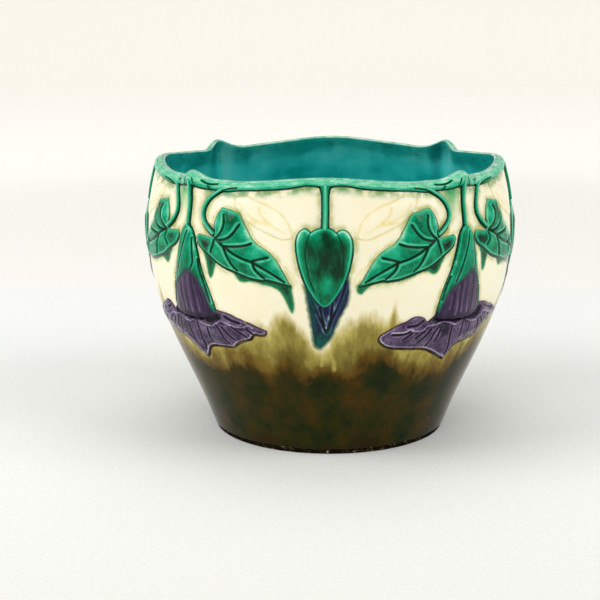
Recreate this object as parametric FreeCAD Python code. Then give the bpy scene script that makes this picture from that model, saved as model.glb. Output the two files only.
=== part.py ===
import FreeCAD, Part
import math
import os

from FreeCAD import Vector

# A glazed earthenware jardiniere: a bellied moulded body on a turned foot, with luted sprigs.
# A branch runs round the rim, and four buds, four trumpet flowers and sixteen leaves hang from
# it. Millimetres, +Z up, origin at the centre of the foot. Azimuth 0 is the front, -Y, and
# turns towards +X. A drop is measured down from the rim's height over a bud.

# body
rimHeight = 225.0
rimRadius = 136.4        # middle of the lip
lipWidth = 5.6
lipRound = 1.6           # height that the lip's shoulders lie under its crest
neckDrop = 25.0
neckRadius = 145.2
bellyDrop = 59.0
bellyRadius = 148.6
shoulderDrop = 110.0
shoulderRadius = 142.0
flankDrop = 165.0
flankRadius = 120.3
baseRadius = 96.6        # where the wall meets the foot
wallThickness = 6.5
floorThickness = 9.0
floorCorner = 13.0       # inside, between floor and wall
wallBand = 24.0          # height of one band of the wall

# foot
footHeight = 4.5
footRadius = 94.8
footWidth = 9.0
footRound = 1.2

# rim wave and spouts
rimDip = 5.8             # from over a bud down to beside a spout
rimDipDepth = 42.0       # drop at which the wave has faded
budSwellSpan = 20.5      # degrees
spoutLift = 6.6
spoutReach = 5.6         # outwards, at the lip
spoutSpan = 5.5          # degrees
spoutPinch = 3.0         # inwards, on each side of a spout
spoutPinchAt = 10.5      # degrees from the spout's middle
spoutPinchSpan = 4.0     # degrees
spoutDepth = 34.0        # drop at which a spout's groove has faded

# rim branch
branchDrop = 8.6         # lower edge
branchProud = 3.0

# sprigs: how far each stands out of the wall, over the square step at its edge
sprigStep = 1.1
stemProud = 2.4
stalkHalfWidth = 2.0
stalkProud = 2.0
leafProud = 2.2
leafMidribSink = 0.8
paleLeafProud = 0.9
paleLeafStep = 0.6
tubeProud = 4.6
calyxCover = 1.0
skirtProud = 4.8
skirtFold = 0.7
budProud = 4.4
petalProud = 2.6
sunkDepth = 3.0          # root of a sprig, cut off again along the wall

# where the sprigs hang
stemRoot = 5.0           # drops
budTop = 33.5
flowerTop = 40.0
stalkFork = 14.0         # degrees from the flower above
leafNotch = (12.1, 47.0)  # degrees from the flower, and drop

quadrant = 90.0
flowerAzimuth = quadrant / 2
columnCount = 5          # sections from a spout's middle to a bud
sides = ("front", "right", "back", "left")
corners = ("front_right", "back_right", "back_left", "front_left")


def hump(offset, span):
    return math.exp(-(offset / span) ** 2)


def fromFlower(azimuth):
    return azimuth % quadrant - flowerAzimuth


def fromBud(azimuth):
    return (azimuth + flowerAzimuth) % quadrant - flowerAzimuth


def rimLift(azimuth, drop):
    """Height that the rim's wave and spouts add to a point this far below the rim."""
    wave = rimDip * (hump(fromBud(azimuth), budSwellSpan) - 1) * hump(drop, rimDipDepth / 1.7)
    spout = spoutLift * hump(fromFlower(azimuth), spoutSpan * 0.8) * hump(drop, branchDrop * 1.4)
    return wave + spout


def spoutBulge(azimuth, drop):
    """Distance that a spout moves a point outwards."""
    offset = fromFlower(azimuth)
    pinch = spoutPinch * hump(abs(offset) - spoutPinchAt, spoutPinchSpan)
    return (spoutReach * hump(offset, spoutSpan) - pinch) * hump(drop, spoutDepth / 1.7)


def polar(azimuth, radius, height):
    angle = math.radians(azimuth)
    return Vector(radius * math.sin(angle), -radius * math.cos(angle), height)


def potPoint(azimuth, radius, drop):
    """A point of the pot, moved by the rim's wave and spouts."""
    height = rimHeight - drop + rimLift(azimuth, drop)
    return polar(azimuth, radius + spoutBulge(azimuth, drop), height)


wallStations = [
    (rimHeight - footHeight, baseRadius),
    (flankDrop, flankRadius),
    (shoulderDrop, shoulderRadius),
    (bellyDrop, bellyRadius),
    (neckDrop, neckRadius),
    (lipRound, rimRadius + lipWidth / 2),
]
wallCurve = Part.BSplineCurve()
wallCurve.interpolate(
    Points=[Vector(radius, 0, -drop) for drop, radius in wallStations],
    Parameters=[-drop for drop, radius in wallStations],
)


def wallRadius(drop):
    return wallCurve.value(-min(max(drop, lipRound), rimHeight - footHeight)).x


def bandDrops():
    """Drops of the rings that the wall is lofted through, from the foot up to the branch."""
    height = rimHeight - footHeight - branchDrop
    bandCount = round(height / wallBand)
    return [branchDrop + height / bandCount * band for band in range(bandCount, -1, -1)]


def onWall(azimuth, drop, proud):
    """A point over the wall, which is straight from one ring to the next."""
    rings = bandDrops() + [lipRound]
    below, above = next(pair for pair in zip(rings, rings[1:]) if drop >= pair[1] or pair[1] == lipRound)
    share = (drop - below) / (above - below)
    start = potPoint(azimuth, wallRadius(below) + proud, below)
    end = potPoint(azimuth, wallRadius(above) + proud, above)
    return start + (end - start) * share


def innerPoint(drop):
    """Radius and drop of the inside, one wall thickness square to the outside."""
    slope = wallCurve.tangent(-drop)[0]
    return wallRadius(drop) - wallThickness * slope.z, drop - wallThickness * slope.x


def potSection():
    """Half section as (radius, drop): up the outside, over the lip, down the inside."""
    drops = bandDrops()
    outside = [(wallRadius(drop), drop) for drop in drops]
    shoulder = lipWidth / 2
    lip = [(rimRadius + shoulder, lipRound), (rimRadius, 0.0), (rimRadius - shoulder, lipRound)]
    floorDrop = rimHeight - footHeight - floorThickness
    cornerDrop = floorDrop - floorCorner
    inside = [innerPoint(drop) for drop in reversed(drops[:-1])]
    inside = [point for point in inside if point[1] < cornerDrop - wallBand / 3]
    cornerRadius = wallRadius(cornerDrop) - wallThickness
    inside.append((cornerRadius, cornerDrop))
    inside.append((cornerRadius - floorCorner * 0.3, cornerDrop + floorCorner * 0.72))
    inside.append((cornerRadius - floorCorner, floorDrop))
    return outside + lip + inside


def columnAzimuths():
    """Azimuths of the sections: close together at the spouts, wide apart at the buds."""
    half = [flowerAzimuth * (step / columnCount) ** 1.4 for step in range(columnCount + 1)]
    spread = sorted({-angle for angle in half} | set(half))[:-1]
    return [flowerAzimuth + quadrant * spout + angle for spout in range(4) for angle in spread]


def ring(radius, drop, proud=0.0):
    """One closed line round the pot."""
    azimuths = columnAzimuths()
    line = Part.BSplineCurve()
    line.interpolate(
        Points=[potPoint(azimuth, radius + proud, drop) for azimuth in azimuths],
        PeriodicFlag=True,
        Parameters=azimuths + [azimuths[0] + 360],
    )
    return line.toShape()


def solidOf(faces):
    shell = Part.Shell(faces)
    shell.sewShape()
    solid = Part.Solid(shell)
    if solid.Volume < 0:
        solid.reverse()
    return solid


def potBody():
    """The wall and lip lofted round the pot, closed by the underside and the floor."""
    rings = [ring(radius, drop) for radius, drop in potSection()]
    return Part.makeLoft([Part.Wire(line) for line in rings], True, True)


def footRing():
    """The turned foot: a rounded ring under the body's edge."""
    innerRadius = footRadius - footWidth
    bevel = math.sqrt(0.5) * footRound
    outline = Part.Wire([
        Part.makeLine(Vector(innerRadius, 0, footHeight), Vector(baseRadius, 0, footHeight)),
        Part.makeLine(Vector(baseRadius, 0, footHeight), Vector(footRadius, 0, footRound)),
        Part.Arc(
            Vector(footRadius, 0, footRound),
            Vector(footRadius - footRound + bevel, 0, footRound - bevel),
            Vector(footRadius - footRound, 0, 0),
        ).toShape(),
        Part.makeLine(Vector(footRadius - footRound, 0, 0), Vector(innerRadius, 0, 0)),
        Part.makeLine(Vector(innerRadius, 0, 0), Vector(innerRadius, 0, footHeight)),
    ])
    return Part.Face(outline).revolve(Vector(0, 0, 0), Vector(0, 0, 1), 360)


def rimBranch():
    """The round branch under the lip, whose back is the body's own top band."""
    outer = wallRadius(branchDrop)
    upper = rimRadius + lipWidth / 2
    rings = [
        ring(outer, branchDrop),
        ring(outer, branchDrop * 0.8, branchProud * 0.75),
        ring((outer + upper) / 2, branchDrop * 0.5, branchProud),
        ring(upper, (branchDrop + lipRound) * 0.27, branchProud * 0.7),
        ring(upper, lipRound),
    ]
    pairs = zip(rings, rings[1:] + rings[:1])
    return solidOf([Part.makeRuledSurface(here, there) for here, there in pairs])


def sprig(sections):
    """A solid through sections of the same number of points, each closed round its outline."""
    lines = []
    for points in zip(*sections):
        line = Part.BSplineCurve()
        line.interpolate(Points=list(points))
        lines.append(line.toShape())
    faces = [Part.makeRuledSurface(here, there) for here, there in zip(lines, lines[1:] + lines[:1])]
    for end in (sections[0], sections[-1]):
        for here, there in zip(end[1:], end[2:]):
            faces.append(Part.Face(Part.makePolygon([end[0], here, there, end[0]])))
    return solidOf(faces)


def crossSection(left, middle, right, proud, step=sprigStep, across=(-1, -0.55, 0, 0.55, 1), sink=0.0):
    """Points over a sprig from its left root to its right one; each place is (azimuth, drop)."""
    points = []
    for share in across:
        place = []
        for a, b, c in zip(left, middle, right):
            place.append(b + (c - a) / 2 * share + ((a + c) / 2 - b) * share * share)
        azimuth, drop = place
        rise = step + proud * (1 - share * share)
        if share == 0:
            rise -= sink
        points.append(onWall(azimuth, drop, rise))
    roots = [onWall(azimuth, drop, -sunkDepth) for azimuth, drop in (left, right)]
    return [roots[0]] + points + [roots[1]]


def level(azimuth, drop, halfWidth, proud, **shape):
    """A cross section at one height."""
    left = (azimuth - halfWidth, drop)
    right = (azimuth + halfWidth, drop)
    return crossSection(left, (azimuth, drop), right, proud, **shape)


def largest(shape):
    return max(shape.Solids, key=lambda solid: solid.Volume)


def seated(piece, *carriers):
    """The piece without what its carriers fill."""
    for carrier in carriers:
        piece = largest(piece.cut(carrier))
    return piece


ridge = (-1, 0, 1)


def budStem():
    widths = [(stemRoot, 5.0), (9.5, 2.4), (12.5, 1.3), (20.0, 1.05), (budTop + 3, 0.9)]
    return sprig([level(0, drop, width, stemProud, across=ridge) for drop, width in widths])


def bud():
    outline = [
        (budTop, 4.4, 0.45), (budTop + 6, 6.9, 0.8), (budTop + 13, 7.9, 1.0), (budTop + 23, 7.9, 1.0),
        (budTop + 34, 6.8, 0.85), (budTop + 46, 4.9, 0.6), (budTop + 55, 2.8, 0.35),
        (budTop + 61, 0.6, 0.1),
    ]
    return sprig([level(0, drop, width, budProud * share) for drop, width, share in outline])


def budPetals():
    outline = [
        (budTop + 44, -5.0, 6.6, 1.0), (budTop + 57, -4.8, 6.3, 1.0), (budTop + 70, -4.3, 5.0, 0.8),
        (budTop + 83, -3.7, 2.6, 0.6), (budTop + 95, -2.9, -1.3, 0.3),
    ]
    sections = []
    for drop, left, right, share in outline:
        sections.append(level((left + right) / 2, drop, (right - left) / 2, petalProud * share))
    return sprig(sections)


def flowerStem():
    widths = [(stemRoot, 3.6), (10.0, 1.9), (14.0, 1.3), (24.0, 1.1), (flowerTop + 3, 1.0)]
    return sprig([level(flowerAzimuth, drop, width, stemProud, across=ridge) for drop, width in widths])


tubeOutline = [
    (flowerTop, 1.3, 0.3), (flowerTop + 7, 3.0, 0.55), (flowerTop + 20, 4.5, 0.75),
    (flowerTop + 35, 5.7, 0.9), (flowerTop + 49, 7.4, 1.0), (flowerTop + 65, 9.4, 1.0),
]


def flowerTube():
    return sprig([level(flowerAzimuth, drop, width, tubeProud * share) for drop, width, share in tubeOutline])


def calyx():
    """The green cup over the tube's top, running down to a point."""
    widths = (1.6, 3.4, 4.9, 3.6, 0.8)
    drops = (flowerTop - 1, flowerTop + 7, flowerTop + 20, flowerTop + 31, flowerTop + 38)
    sections = []
    for drop, width in zip(drops, widths):
        tube = tubeProud * min(0.3 + 0.6 * (drop - flowerTop) / 35, 1)
        sections.append(level(flowerAzimuth, drop, width, tube, step=sprigStep + calyxCover))
    return sprig(sections)


def flowerSkirt():
    """The flared mouth: a crescent of folds from tip to tip, deepest under the tube."""
    outline = [
        (0.0, 60.0, 106.5), (2.2, 60.0, 103.0), (4.8, 60.5, 96.8), (8.8, 62.5, 96.5),
        (12.4, 67.0, 94.8), (15.6, 66.5, 91.5), (20.5, 68.0, 88.0), (24.5, 70.0, 87.5),
        (27.8, 75.5, 81.0),
    ]
    half = [(offset, top, bottom) for offset, top, bottom in outline[1:]]
    whole = [(-offset, top, bottom) for offset, top, bottom in reversed(half)] + outline[:1] + half
    sections = []
    for index, (offset, top, bottom) in enumerate(whole):
        share = 1 - 0.7 * abs(offset) / outline[-1][0]
        fold = skirtFold * (-1) ** index
        azimuth = flowerAzimuth + offset
        top += flowerTop
        bottom += flowerTop
        points = [onWall(azimuth, top, -sunkDepth)]
        for along, rise in ((0.0, 0.45), (0.35, 1.0), (0.75, 0.75), (1.0, 0.3)):
            drop = top + (bottom - top) * along
            height = sprigStep + skirtProud * share * rise + fold * along * share
            points.append(onWall(azimuth, drop, height))
        points.append(onWall(azimuth, bottom, -sunkDepth))
        sections.append(points)
    return sprig(sections)


def fromNotch(offset, drop):
    """Azimuth and drop of a point given from the leaf's notch."""
    return flowerAzimuth - leafNotch[0] - offset, leafNotch[1] + drop


def leaf():
    """A heart-shaped leaf from its lobes, beside the flower, to its tip, under the bud."""
    rows = [
        ((2.1, -22.5), (0.0, 0.0), (-7.1, -3.5), 0.6),
        ((6.5, -19.0), (2.4, 3.5), (-7.2, 8.0), 0.9),
        ((9.3, -9.5), (5.9, 8.5), (-4.0, 16.5), 1.0),
        ((12.9, 2.7), (10.4, 14.5), (1.9, 23.8), 1.0),
        ((17.2, 11.0), (14.9, 21.0), (8.4, 28.7), 0.8),
        ((20.8, 20.4), (19.2, 26.2), (16.2, 30.5), 0.5),
        ((23.7, 30.0), (24.0, 31.5), (22.9, 32.9), 0.1),
    ]
    sections = []
    for upper, middle, lower, share in rows:
        places = [fromNotch(*place) for place in (upper, middle, lower)]
        sections.append(crossSection(*places, leafProud * share, sink=leafMidribSink * share))
    return sprig(sections)


def leafStalk():
    """The hooked stalk from the rim branch to the leaf's notch."""
    reach = leafNotch[1] - stemRoot
    route = [
        (stalkFork - leafNotch[0], 2 - reach), (-1.9, -0.82 * reach), (-4.9, -0.68 * reach),
        (-6.3, -0.51 * reach), (-6.1, -0.345 * reach), (-4.2, -0.18 * reach), (0.0, 0.0),
    ]
    degree = math.radians(neckRadius)        # millimetres along the wall
    sections = []
    for index, (offset, drop) in enumerate(route):
        before = route[max(index - 1, 0)]
        after = route[min(index + 1, len(route) - 1)]
        along = Vector((after[0] - before[0]) * degree, after[1] - before[1], 0).normalize()
        sideways = stalkHalfWidth * along.y / degree
        down = stalkHalfWidth * along.x
        left = fromNotch(offset + sideways, drop - down)
        right = fromNotch(offset - sideways, drop + down)
        middle = fromNotch(offset, drop)
        sections.append(crossSection(left, middle, right, stalkProud, across=ridge))
    return sprig(sections)


def paleLeaf():
    """The low leaf behind, between the bud and the leaf beside it."""
    rows = [
        ((26.5, 15.0), (27.0, 19.5), (26.5, 24.0), 0.5), ((19.5, 17.5), (22.0, 24.5), (23.5, 32.5), 1.0),
        ((14.5, 23.5), (16.5, 31.0), (18.5, 38.5), 1.0), ((11.5, 30.5), (12.5, 36.5), (14.0, 43.0), 0.8),
        ((9.3, 42.0), (9.4, 43.5), (9.6, 45.0), 0.2),
    ]
    sections = []
    for upper, middle, lower, share in rows:
        sections.append(crossSection(upper, middle, lower, paleLeafProud * share, step=paleLeafStep))
    return sprig(sections)


def mirrored(shape):
    return shape.mirror(Vector(0, 0, 0), Vector(1, 0, 0))


def turned(shape, side):
    """The shape at another quarter of the pot; azimuth runs from -Y to +X."""
    copy = shape.copy()
    copy.rotate(Vector(0, 0, 0), Vector(0, 0, 1), quadrant * side)
    return copy


def quarters(shape):
    return [turned(shape, side) for side in range(4)]


def nodes():
    """Every piece by name. Each sprig is seated once, then repeated by the pot's symmetry."""
    body = potBody()
    branch = rimBranch()
    budShape = seated(bud(), body)
    petals = seated(budPetals(), body, budShape)
    tube = seated(flowerTube(), body)
    cup = seated(calyx(), body, tube)
    skirt = seated(flowerSkirt(), body, tube)
    leafShape = seated(leaf(), body)
    paleShape = seated(paleLeaf(), body, leafShape, budShape)
    stalk = seated(leafStalk(), body, branch, leafShape)
    named = {"pot_body": body, "foot_ring": footRing(), "rim_branch": branch}
    named["bud_stems"] = Part.Compound(quarters(seated(budStem(), body, branch, budShape)))
    named["flower_stems"] = Part.Compound(quarters(seated(flowerStem(), body, branch, cup)))
    named["leaf_stalks"] = Part.Compound(quarters(stalk) + quarters(mirrored(stalk)))
    named["pale_leaves"] = Part.Compound(quarters(paleShape) + quarters(mirrored(paleShape)))
    for side, name in enumerate(sides):
        named["bud_" + name] = turned(budShape, side)
        named["bud_petals_" + name] = turned(petals, side)
        named["leaf_" + name + "_a"] = turned(leafShape, side)
        named["leaf_" + name + "_b"] = turned(mirrored(leafShape), side)
    for side, name in enumerate(corners):
        named["flower_tube_" + name] = turned(tube, side)
        named["flower_calyx_" + name] = turned(cup, side)
        named["flower_skirt_" + name] = turned(skirt, side)
    return named


os.makedirs("parts", exist_ok=True)
for name, shape in nodes().items():
    shape.exportStep("parts/" + name + ".step")
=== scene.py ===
import math

import bpy
import bmesh
import numpy as np
from mathutils import Matrix, Vector, geometry


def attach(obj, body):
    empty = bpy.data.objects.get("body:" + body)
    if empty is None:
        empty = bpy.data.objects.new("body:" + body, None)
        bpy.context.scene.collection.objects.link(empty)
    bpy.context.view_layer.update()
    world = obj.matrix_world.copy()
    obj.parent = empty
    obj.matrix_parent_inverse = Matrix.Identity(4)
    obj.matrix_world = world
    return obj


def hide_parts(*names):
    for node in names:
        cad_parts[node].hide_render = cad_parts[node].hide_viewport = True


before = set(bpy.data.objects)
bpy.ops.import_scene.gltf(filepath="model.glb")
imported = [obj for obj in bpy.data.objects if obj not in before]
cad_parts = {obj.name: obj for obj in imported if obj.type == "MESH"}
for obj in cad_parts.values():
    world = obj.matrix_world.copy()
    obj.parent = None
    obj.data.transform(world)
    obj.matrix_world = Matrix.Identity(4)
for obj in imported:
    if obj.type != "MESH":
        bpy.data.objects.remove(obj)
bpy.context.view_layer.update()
print("frame loaded")

# Flat places on the wall are millimetres: x is the azimuth from the front bud, y the drop
# below the rim. Pattern places are (degrees from the piece's own axis, height).
mmPerDegree = 2.53
flowerAxis = 45.0
pot = dict(
    rimHeight=225.0, rimRadius=136.4, lipWidth=5.6, lipRound=1.6,
    rimDip=5.8, rimDipFade=24.70588, budSwellSpan=20.5,
    spoutLift=6.6, spoutLiftSpan=4.4, spoutLiftFade=12.04, spoutReach=5.6, spoutSpan=5.5,
    spoutPinch=3.0, spoutPinchAt=10.5, spoutPinchSpan=4.0, spoutFade=14.11765,
    # (drop, radius) down the outside
    wall=[
        (1.6, 139.2), (8.6, 141.3), (18, 143.7), (25, 145.2), (35, 146.8), (45, 147.9), (59, 148.5),
        (75, 148), (90, 146.2), (110, 141.9), (130, 135.2), (150, 127), (165, 120.3), (180, 113.4),
        (200, 104.6), (220.5, 96.6),
    ],
)


def hump(offset, span):
    return np.exp(-(np.asarray(offset) / span) ** 2)


def smoothRise(value, low, high):
    share = np.clip((np.asarray(value) - low) / (high - low), 0, 1)
    return share * share * (3 - 2 * share)


def fromFlower(azimuth):
    return np.mod(azimuth, 90) - flowerAxis


def fromBud(azimuth):
    return np.mod(azimuth + flowerAxis, 90) - flowerAxis


def rimLift(azimuth, drop):
    wave = pot["rimDip"] * (hump(fromBud(azimuth), pot["budSwellSpan"]) - 1)
    spout = pot["spoutLift"] * hump(fromFlower(azimuth), pot["spoutLiftSpan"])
    return wave * hump(drop, pot["rimDipFade"]) + spout * hump(drop, pot["spoutLiftFade"])


def spoutBulge(azimuth, drop):
    offset = fromFlower(azimuth)
    pinch = pot["spoutPinch"] * hump(np.abs(offset) - pot["spoutPinchAt"], pot["spoutPinchSpan"])
    return (pot["spoutReach"] * hump(offset, pot["spoutSpan"]) - pinch) * hump(drop, pot["spoutFade"])


def curveThrough(stations, at):
    # smooth curve through (place, value) pairs
    places, values = np.array(stations, float).T
    slopes = np.gradient(values, places)
    at = np.clip(at, places[0], places[-1])
    index = np.clip(np.searchsorted(places, at) - 1, 0, len(places) - 2)
    gap = places[index + 1] - places[index]
    t = (at - places[index]) / gap
    return (
        (2 * t**3 - 3 * t**2 + 1) * values[index] + (t**3 - 2 * t**2 + t) * gap * slopes[index]
        + (3 * t**2 - 2 * t**3) * values[index + 1] + (t**3 - t**2) * gap * slopes[index + 1]
    )


def wallRadius(drop):
    return curveThrough(pot["wall"], drop)


def potPoint(azimuth, radius, drop):
    # places in metres
    azimuth, radius, drop = np.broadcast_arrays(azimuth, radius, drop)
    angle = np.radians(azimuth)
    reach = radius + spoutBulge(azimuth, drop)
    height = pot["rimHeight"] - drop + rimLift(azimuth, drop)
    return np.stack([reach * np.sin(angle), -reach * np.cos(angle), height], -1) / 1000


def onWall(flat, proud):
    flat = np.asarray(flat, float)
    return potPoint(flat[..., 0] / mmPerDegree, wallRadius(flat[..., 1]) + proud, flat[..., 1])


def flatPlace(points, axis=flowerAxis, side=1):
    # pattern places to flat ones; the rim's lift depends on the drop, so it is found step by step
    points = np.array(points, float)
    azimuth = axis + side * points[:, 0]
    plain = pot["rimHeight"] - points[:, 1]
    drop = plain
    for _ in range(8):
        drop = plain + rimLift(azimuth, drop)
    return np.stack([azimuth * mmPerDegree, drop], 1)


def smooth(points, step=0.8, closed=False):
    # an even line through the points
    points = np.array(points, float)
    if closed:
        points = np.vstack([points[-1:], points, points[:2]])
    else:
        points = np.vstack([2 * points[0] - points[1], points, 2 * points[-1] - points[-2]])
    t = np.linspace(0, 1, 12, endpoint=False)[:, None]
    runs = []
    for a, b, c, d in zip(points, points[1:], points[2:], points[3:]):
        bend = (2 * a - 5 * b + 4 * c - d) * t**2 + (3 * b - a - 3 * c + d) * t**3
        runs.append(0.5 * (2 * b + (c - a) * t + bend))
    dense = np.vstack(runs + [points[-2:-1]])
    lengths = np.concatenate([[0], np.cumsum(np.linalg.norm(np.diff(dense, axis=0), axis=1))])
    count = max(int(round(lengths[-1] / step)), 2)
    even = np.linspace(0, lengths[-1], count + 1)
    return np.stack([np.interp(even, lengths, dense[:, 0]), np.interp(even, lengths, dense[:, 1])], 1)


def smoothAll(lines, axis=flowerAxis, side=1):
    return [smooth(flatPlace(line, axis, side)) for line in lines]


def outlineOf(parts, axis=flowerAxis, side=1):
    # a closed outline of smooth runs that meet at corners
    parts = [flatPlace(part, axis, side) for part in parts]
    runs = []
    for part, following in zip(parts, parts[1:] + parts[:1]):
        runs.append(smooth(np.vstack([part, following[:1]]))[:-1])
    return np.vstack(runs)


def nearestOf(points, line):
    # from the line's nearest place to each point, and the line's own run there
    start, along = line[:-1], np.diff(line, axis=0)
    away = points[:, None] - start
    share = np.clip((away * along).sum(2) / np.maximum((along**2).sum(1), 1e-9), 0, 1)
    gap = away - share[..., None] * along
    pick = np.linalg.norm(gap, axis=2).argmin(1)
    return gap[np.arange(len(points)), pick], along[pick]


def distanceTo(points, line):
    nearest = np.empty(len(points))
    chunk = 3000
    for first in range(0, len(points), chunk):
        gap, _ = nearestOf(points[first:first + chunk], line)
        nearest[first:first + chunk] = np.linalg.norm(gap, axis=1)
    return nearest


def leastDistance(points, lines):
    return np.min([distanceTo(points, line) for line in lines], axis=0)


def sideOf(points, line):
    # distance to a line, positive to the left of its nearest run, seen with y downwards
    gap, run = nearestOf(points, line)
    cross = run[:, 1] * gap[:, 0] - run[:, 0] * gap[:, 1]
    return np.sign(cross) * np.linalg.norm(gap, axis=1)


def within(points, outline):
    x, y = points[:, :1], points[:, 1:]
    (x0, y0), (x1, y1) = outline.T, np.roll(outline, -1, 0).T
    rise = np.where(y1 == y0, 1e-9, y1 - y0)
    crosses = ((y0 > y) != (y1 > y)) & (x < (x1 - x0) * (y - y0) / rise + x0)
    return crosses.sum(1) % 2 == 1


farGap = 14.0  # distances to outlines are only worked out up to here


def signedDistance(points, outline):
    # negative inside
    low, high = outline.min(0) - farGap, outline.max(0) + farGap
    near = ((points > low) & (points < high)).all(1)
    result = np.full(len(points), farGap)
    gap = distanceTo(points[near], np.vstack([outline, outline[:1]]))
    result[near] = np.where(within(points[near], outline), -gap, np.minimum(gap, farGap))
    return result


def leastSigned(points, outlines):
    return np.min([signedDistance(points, outline) for outline in outlines], axis=0)


def fill(outline, spacing, lines=()):
    # triangles over an outline, with corners along its lines
    kept = [line[signedDistance(line, outline) < -0.35] for line in lines]
    low, high = outline.min(0), outline.max(0)
    rows = []
    for number, y in enumerate(np.arange(low[1], high[1], spacing * 0.866)):
        x = np.arange(low[0] + spacing * 0.5 * (number % 2), high[0], spacing)
        rows.append(np.stack([x, np.full_like(x, y)], 1))
    grid = np.vstack(rows)
    grid = grid[signedDistance(grid, outline) < -0.6 * min(spacing, 0.9)]
    for line in kept:
        if len(line) > 1:
            grid = grid[distanceTo(grid, line) > 0.5 * spacing]
    count = len(outline)
    points = np.vstack([outline] + [line for line in kept if len(line)] + [grid])
    edges = [(i, (i + 1) % count) for i in range(count)]
    verts, _, faces, *_ = geometry.delaunay_2d_cdt([Vector(p) for p in points], edges, [], 1, 1e-5)
    verts = np.array([tuple(v) for v in verts])
    faces = [list(face) for face in faces]
    middles = np.array([verts[face].mean(0) for face in faces])
    return verts, [face for face, good in zip(faces, within(middles, outline)) if good]


def openEdges(faces):
    # the edges that only one face uses
    seen = {}
    for face in faces:
        for edge in zip(face, face[1:] + face[:1]):
            seen.setdefault(tuple(sorted(edge)), []).append(edge)
    return [key for key, uses in seen.items() if len(uses) == 1]


def meshFrom(name, verts, faces, attributes):
    mesh = bpy.data.meshes.new(name)
    mesh.from_pydata([tuple(v) for v in verts], [], faces)
    for key, values in attributes.items():
        layer = mesh.attributes.new(key, "FLOAT", "POINT")
        layer.data.foreach_set("value", np.asarray(values, np.float32))
    piece = bpy.data.objects.new(name, mesh)
    bpy.context.scene.collection.objects.link(piece)
    return piece


def weld(mesh):
    # joins the corners that meet, turns the faces outwards and shades them smooth
    shell = bmesh.new()
    shell.from_mesh(mesh)
    bmesh.ops.remove_doubles(shell, verts=shell.verts, dist=1e-6)
    bmesh.ops.recalc_face_normals(shell, faces=shell.faces)
    for face in shell.faces:
        face.smooth = True
    shell.to_mesh(mesh)
    shell.free()


def sheet(name, places, attributes, closed=False):
    # a mesh over rows of places; closed joins the last row to the first
    rows, columns = places.shape[:2]
    faces = []
    for row in range(rows - 1 + closed):
        low, high = row * columns, (row + 1) % rows * columns
        faces += [[low + c, low + c + 1, high + c + 1, high + c] for c in range(columns - 1)]
    full = {key: np.broadcast_to(values, (rows, columns)).ravel() for key, values in attributes.items()}
    return meshFrom(name, places.reshape(-1, 3), faces, full)


def sprig(name, outline, cuts, rise, paint, spacing=0.75, extra=(), root=1.2):
    # a closed relief over an outline: its front, a back sunk in the wall and the band between
    front, faces = fill(outline, spacing, list(cuts) + list(extra))
    gap = distanceTo(front, np.vstack([outline, outline[:1]]))
    near = leastDistance(front, cuts)
    attributes = {"edge": gap, "upper": 0 * gap} | paint(front, gap, near)
    back, backFaces = fill(outline, 5.0)
    offset = len(front)
    lookup = {tuple(np.round(p, 3)): index for index, p in enumerate(back)}
    band = []
    for a, b in openEdges(faces):
        c, d = (lookup.get(tuple(np.round(front[i], 3))) for i in (b, a))
        if c is not None and d is not None:
            band.append([a, b, offset + c, offset + d])
    verts = np.vstack([onWall(front, rise(front, gap, near)), onWall(back, np.full(len(back), -root))])
    faces = faces + [[offset + i for i in face] for face in backFaces] + band
    full = {key: np.append(values, np.full(len(back), values.min())) for key, values in attributes.items()}
    return meshFrom(name, verts, faces, full)


def quarterRound(gap, width=1.1):
    # the rounded shoulder that a sprig rises over
    share = 1 - np.clip(gap / width, 0, 1)
    return np.sqrt(np.maximum(1 - share**2, 0))


def swell(settings, gap):
    # a sprig's shoulder, and its dome from the edge inwards
    dome = settings["dome"] * smoothRise(gap, 0, settings["reach"])
    return settings["step"] * quarterRound(gap, settings.get("shoulder", 1.1)) + dome


def groove(settings, near):
    depth, width = settings["groove"]
    return depth * hump(near, width)


def faceUp(points, outline, gap):
    # 1 where the nearest edge lies above, 0 where it lies below
    return np.clip(0.5 + 0.5 * (signedDistance(points - np.array([0, 1]), outline) + gap), 0, 1)


def patchSum(points, settings, axis=flowerAxis, side=1):
    # soft patches added to lit, painted highlight with thin glaze, darker where the amount is negative:
    # (degrees, height, reach in mm, amount)
    total = np.zeros(len(points))
    for degrees, height, reach, amount in settings["patches"]:
        centre = flatPlace([(degrees, height)], axis, side)[0]
        total += amount * hump(np.linalg.norm(points - centre, axis=1), reach)
    return total


# shader sockets as numbers
class Wire:
    def __init__(self, paint, socket):
        self.paint = paint
        self.socket = socket

    def math(self, operation, *values):
        return self.paint.add("ShaderNodeMath", {"operation": operation}, *values)

    def __add__(self, other):
        return self.math("ADD", self, other)

    def __sub__(self, other):
        return self.math("SUBTRACT", self, other)

    def __rsub__(self, other):
        return self.math("SUBTRACT", other, self)

    def __mul__(self, other):
        return self.math("MULTIPLY", self, other)

    __radd__ = __add__
    __rmul__ = __mul__

    def most(self, other):
        return self.math("MAXIMUM", self, other)

    def held(self):
        return self.paint.add("ShaderNodeClamp", {}, self)

    def ramp(self, low, high):
        # 0 below low, 1 above high, smooth between
        return self.paint.add("ShaderNodeMapRange", {"interpolation_type": "SMOOTHSTEP"}, self, low, high)


def tone(red, green, blue):
    # a colour as it looks on a screen, made linear
    def linear(value):
        value /= 255
        return value / 12.92 if value <= 0.04045 else ((value + 0.055) / 1.055) ** 2.4
    return (linear(red), linear(green), linear(blue), 1.0)


def stops(*rows):
    # stops of a colour ramp, each (place, red, green, blue)
    return [(place, tone(*colour)) for place, *colour in rows]


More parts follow.
